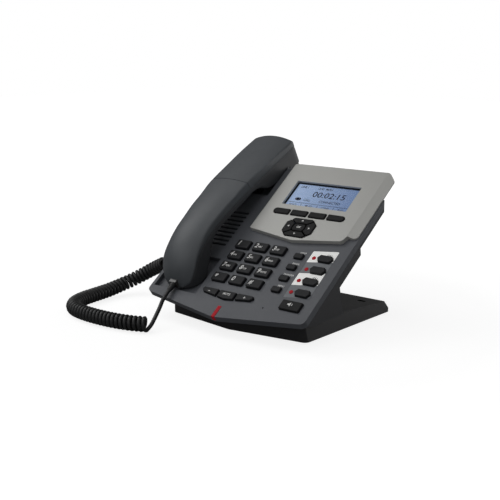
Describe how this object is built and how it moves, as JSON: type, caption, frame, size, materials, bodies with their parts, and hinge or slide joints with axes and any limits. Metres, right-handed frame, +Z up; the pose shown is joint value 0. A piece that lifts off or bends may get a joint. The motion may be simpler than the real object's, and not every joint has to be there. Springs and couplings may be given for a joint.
{
  "type": "desk ip phone",
  "caption": "Desk network telephone with a sloping dial pad, display in a silver bezel, corded handset in a side cradle and a low stand.",
  "frame": {"origin": "on the desk, under the middle of the telephone without its cord", "axes": "+X to the user's right, +Y away from the user, +Z up from the desk"},
  "size_m": [0.2581, 0.2204, 0.1563],
  "materials": {
    "slate_plastic": "fine satin grain",
    "rear_plastic": "fine grain",
    "stand_plastic": "fine grain",
    "handset_plastic": "fine satin grain",
    "silver_plastic": "satin metallic paint",
    "key_plastic": "soft touch",
    "dark_key_plastic": "soft touch",
    "clear_lens": "clear hard coat",
    "display_cell": "lit display",
    "circuit_board": "solder mask",
    "keypad_rubber": "moulded silicone",
    "card": "printed card",
    "red_lens": "tinted lens",
    "black_metal": "black frame",
    "part_metal": "bare can",
    "socket_plastic": "moulded socket",
    "screw_steel": "zinc plated",
    "weight_steel": "zinc plated",
    "plug_plastic": "clear smoke plug",
    "foot_rubber": "moulded foot",
    "cord_jacket": "extruded jacket"
  },
  "bodies": {
    "base": {"stand_base": "stand_plastic", "stand_feet": "foot_rubber", "rear_case": "rear_plastic", "top_case": "slate_plastic", "display_bezel": "silver_plastic", "display_lens": "clear_lens", "lcd_module": "display_cell", "main_board": "circuit_board", "key_mat": "keypad_rubber", "label_card": "card", "line_lamps": "red_lens", "message_lamp": "red_lens", "loudspeaker": "black_metal", "base_microphone": "part_metal", "rear_sockets": "socket_plastic", "handset_jack": "socket_plastic", "case_screws": "screw_steel", "base_plug": "plug_plastic", "cord_tails": "cord_jacket", "curly_cord": "cord_jacket"},
    "handset": {"handset_front_cover": "handset_plastic", "handset_back_cover": "handset_plastic", "earpiece_receiver": "part_metal", "handset_microphone": "part_metal", "handset_weight": "weight_steel", "handset_plug": "plug_plastic"},
    "hook": {"hook_switch": "rear_plastic"},
    "key_star": {"key_star": "key_plastic"},
    "key_0": {"key_0": "key_plastic"},
    "key_hash": {"key_hash": "key_plastic"},
    "key_7": {"key_7": "key_plastic"},
    "key_8": {"key_8": "key_plastic"},
    "key_9": {"key_9": "key_plastic"},
    "key_4": {"key_4": "key_plastic"},
    "key_5": {"key_5": "key_plastic"},
    "key_6": {"key_6": "key_plastic"},
    "key_1": {"key_1": "key_plastic"},
    "key_2": {"key_2": "key_plastic"},
    "key_3": {"key_3": "key_plastic"},
    "volume_down_key": {"volume_down_key": "key_plastic"},
    "mute_key": {"mute_key": "key_plastic"},
    "volume_up_key": {"volume_up_key": "key_plastic"},
    "speaker_key": {"speaker_key": "key_plastic"},
    "function_key_1": {"function_key_1": "key_plastic"},
    "function_key_2": {"function_key_2": "key_plastic"},
    "function_key_3": {"function_key_3": "key_plastic"},
    "function_key_4": {"function_key_4": "key_plastic"},
    "line_key_1": {"line_key_1": "key_plastic"},
    "line_key_2": {"line_key_2": "key_plastic"},
    "line_key_3": {"line_key_3": "key_plastic"},
    "line_key_4": {"line_key_4": "key_plastic"},
    "soft_key_1": {"soft_key_1": "dark_key_plastic"},
    "soft_key_2": {"soft_key_2": "dark_key_plastic"},
    "soft_key_3": {"soft_key_3": "dark_key_plastic"},
    "soft_key_4": {"soft_key_4": "dark_key_plastic"},
    "nav_right": {"nav_right": "dark_key_plastic"},
    "nav_up": {"nav_up": "dark_key_plastic"},
    "nav_left": {"nav_left": "dark_key_plastic"},
    "nav_down": {"nav_down": "dark_key_plastic"},
    "nav_ok": {"nav_ok": "dark_key_plastic"}
  },
  "joints": [
    {"name": "handset_lift", "type": "slide", "parent": "base", "child": "handset", "axis": [0, -0.5948, 0.8039], "range_m": [0, 0.06]},
    {"name": "hook_travel", "type": "slide", "parent": "base", "child": "hook", "axis": [0, -0.5948, 0.8039], "range_m": [0, 0.0024]},
    {"name": "key_star_press", "type": "slide", "parent": "base", "child": "key_star", "axis": [0, 0.5948, -0.8039], "range_m": [0, 0.0012], "stiffness_N_per_m": 250, "springref_m": -0.0002},
    {"name": "key_0_press", "type": "slide", "parent": "base", "child": "key_0", "axis": [0, 0.5948, -0.8039], "range_m": [0, 0.0012], "stiffness_N_per_m": 250, "springref_m": -0.0002},
    {"name": "key_hash_press", "type": "slide", "parent": "base", "child": "key_hash", "axis": [0, 0.5948, -0.8039], "range_m": [0, 0.0012], "stiffness_N_per_m": 250, "springref_m": -0.0002},
    {"name": "key_7_press", "type": "slide", "parent": "base", "child": "key_7", "axis": [0, 0.5948, -0.8039], "range_m": [0, 0.0012], "stiffness_N_per_m": 250, "springref_m": -0.0002},
    {"name": "key_8_press", "type": "slide", "parent": "base", "child": "key_8", "axis": [0, 0.5948, -0.8039], "range_m": [0, 0.0012], "stiffness_N_per_m": 250, "springref_m": -0.0002},
    {"name": "key_9_press", "type": "slide", "parent": "base", "child": "key_9", "axis": [0, 0.5948, -0.8039], "range_m": [0, 0.0012], "stiffness_N_per_m": 250, "springref_m": -0.0002},
    {"name": "key_4_press", "type": "slide", "parent": "base", "child": "key_4", "axis": [0, 0.5948, -0.8039], "range_m": [0, 0.0012], "stiffness_N_per_m": 250, "springref_m": -0.0002},
    {"name": "key_5_press", "type": "slide", "parent": "base", "child": "key_5", "axis": [0, 0.5948, -0.8039], "range_m": [0, 0.0012], "stiffness_N_per_m": 250, "springref_m": -0.0002},
    {"name": "key_6_press", "type": "slide", "parent": "base", "child": "key_6", "axis": [0, 0.5948, -0.8039], "range_m": [0, 0.0012], "stiffness_N_per_m": 250, "springref_m": -0.0002},
    {"name": "key_1_press", "type": "slide", "parent": "base", "child": "key_1", "axis": [0, 0.5948, -0.8039], "range_m": [0, 0.0012], "stiffness_N_per_m": 250, "springref_m": -0.0002},
    {"name": "key_2_press", "type": "slide", "parent": "base", "child": "key_2", "axis": [0, 0.5948, -0.8039], "range_m": [0, 0.0012], "stiffness_N_per_m": 250, "springref_m": -0.0002},
    {"name": "key_3_press", "type": "slide", "parent": "base", "child": "key_3", "axis": [0, 0.5948, -0.8039], "range_m": [0, 0.0012], "stiffness_N_per_m": 250, "springref_m": -0.0002},
    {"name": "volume_down_key_press", "type": "slide", "parent": "base", "child": "volume_down_key", "axis": [0, 0.5948, -0.8039], "range_m": [0, 0.0012], "stiffness_N_per_m": 250, "springref_m": -0.0002},
    {"name": "mute_key_press", "type": "slide", "parent": "base", "child": "mute_key", "axis": [0, 0.5948, -0.8039], "range_m": [0, 0.0012], "stiffness_N_per_m": 250, "springref_m": -0.0002},
    {"name": "volume_up_key_press", "type": "slide", "parent": "base", "child": "volume_up_key", "axis": [0, 0.5948, -0.8039], "range_m": [0, 0.0012], "stiffness_N_per_m": 250, "springref_m": -0.0002},
    {"name": "speaker_key_press", "type": "slide", "parent": "base", "child": "speaker_key", "axis": [0, 0.5948, -0.8039], "range_m": [0, 0.0012], "stiffness_N_per_m": 250, "springref_m": -0.0002},
    {"name": "function_key_1_press", "type": "slide", "parent": "base", "child": "function_key_1", "axis": [0, 0.5948, -0.8039], "range_m": [0, 0.0012], "stiffness_N_per_m": 250, "springref_m": -0.0002},
    {"name": "function_key_2_press", "type": "slide", "parent": "base", "child": "function_key_2", "axis": [0, 0.5948, -0.8039], "range_m": [0, 0.0012], "stiffness_N_per_m": 250, "springref_m": -0.0002},
    {"name": "function_key_3_press", "type": "slide", "parent": "base", "child": "function_key_3", "axis": [0, 0.5948, -0.8039], "range_m": [0, 0.0012], "stiffness_N_per_m": 250, "springref_m": -0.0002},
    {"name": "function_key_4_press", "type": "slide", "parent": "base", "child": "function_key_4", "axis": [0, 0.5948, -0.8039], "range_m": [0, 0.0012], "stiffness_N_per_m": 250, "springref_m": -0.0002},
    {"name": "line_key_1_press", "type": "slide", "parent": "base", "child": "line_key_1", "axis": [0, 0.5948, -0.8039], "range_m": [0, 0.0012], "stiffness_N_per_m": 250, "springref_m": -0.0002},
    {"name": "line_key_2_press", "type": "slide", "parent": "base", "child": "line_key_2", "axis": [0, 0.5948, -0.8039], "range_m": [0, 0.0012], "stiffness_N_per_m": 250, "springref_m": -0.0002},
    {"name": "line_key_3_press", "type": "slide", "parent": "base", "child": "line_key_3", "axis": [0, 0.5948, -0.8039], "range_m": [0, 0.0012], "stiffness_N_per_m": 250, "springref_m": -0.0002},
    {"name": "line_key_4_press", "type": "slide", "parent": "base", "child": "line_key_4", "axis": [0, 0.5948, -0.8039], "range_m": [0, 0.0012], "stiffness_N_per_m": 250, "springref_m": -0.0002},
    {"name": "soft_key_1_press", "type": "slide", "parent": "base", "child": "soft_key_1", "axis": [0, 0.5948, -0.8039], "range_m": [0, 0.0012], "stiffness_N_per_m": 250, "springref_m": -0.0002},
    {"name": "soft_key_2_press", "type": "slide", "parent": "base", "child": "soft_key_2", "axis": [0, 0.5948, -0.8039], "range_m": [0, 0.0012], "stiffness_N_per_m": 250, "springref_m": -0.0002},
    {"name": "soft_key_3_press", "type": "slide", "parent": "base", "child": "soft_key_3", "axis": [0, 0.5948, -0.8039], "range_m": [0, 0.0012], "stiffness_N_per_m": 250, "springref_m": -0.0002},
    {"name": "soft_key_4_press", "type": "slide", "parent": "base", "child": "soft_key_4", "axis": [0, 0.5948, -0.8039], "range_m": [0, 0.0012], "stiffness_N_per_m": 250, "springref_m": -0.0002},
    {"name": "nav_right_press", "type": "slide", "parent": "base", "child": "nav_right", "axis": [0, 0.5948, -0.8039], "range_m": [0, 0.0012], "stiffness_N_per_m": 250, "springref_m": -0.0002},
    {"name": "nav_up_press", "type": "slide", "parent": "base", "child": "nav_up", "axis": [0, 0.5948, -0.8039], "range_m": [0, 0.0012], "stiffness_N_per_m": 250, "springref_m": -0.0002},
    {"name": "nav_left_press", "type": "slide", "parent": "base", "child": "nav_left", "axis": [0, 0.5948, -0.8039], "range_m": [0, 0.0012], "stiffness_N_per_m": 250, "springref_m": -0.0002},
    {"name": "nav_down_press", "type": "slide", "parent": "base", "child": "nav_down", "axis": [0, 0.5948, -0.8039], "range_m": [0, 0.0012], "stiffness_N_per_m": 250, "springref_m": -0.0002},
    {"name": "nav_ok_press", "type": "slide", "parent": "base", "child": "nav_ok", "axis": [0, 0.5948, -0.8039], "range_m": [0, 0.0012], "stiffness_N_per_m": 250, "springref_m": -0.0002}
  ],
  "couplings": [
    {"joint": "hook_travel", "follows": "handset_lift", "ratio": 0.04}
  ]
}
